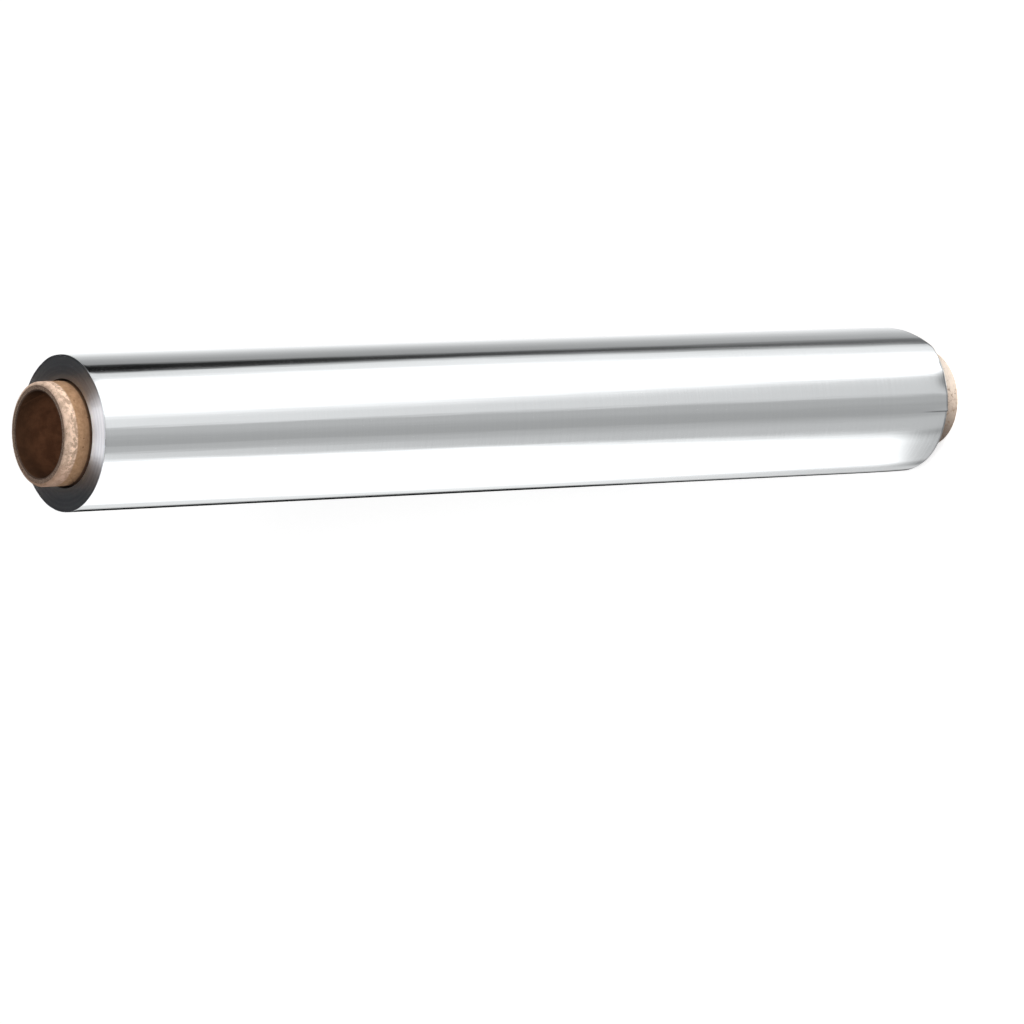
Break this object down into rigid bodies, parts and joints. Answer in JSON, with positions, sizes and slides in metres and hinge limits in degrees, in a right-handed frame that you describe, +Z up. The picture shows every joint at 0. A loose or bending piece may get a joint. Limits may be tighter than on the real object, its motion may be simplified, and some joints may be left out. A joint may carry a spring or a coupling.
{
  "type": "aluminium foil roll",
  "caption": "Kitchen roll of bare aluminium foil wound on a longer paperboard core, with its free edge along the roll, standing on one end of the core.",
  "frame": {"origin": "centre of the core's foot end, on the surface that the roll stands on", "axes": "+Z up along the roll's axis, from the longer core end to the shorter one; the foil's free edge lies near the -Y side"},
  "size_m": [0.0439, 0.0439, 0.3184],
  "materials": {
    "core_board": "matte",
    "foil": "bright rolled"
  },
  "bodies": {
    "root": {"core_tube": "core_board", "foil_winding": "foil"}
  },
  "joints": []
}
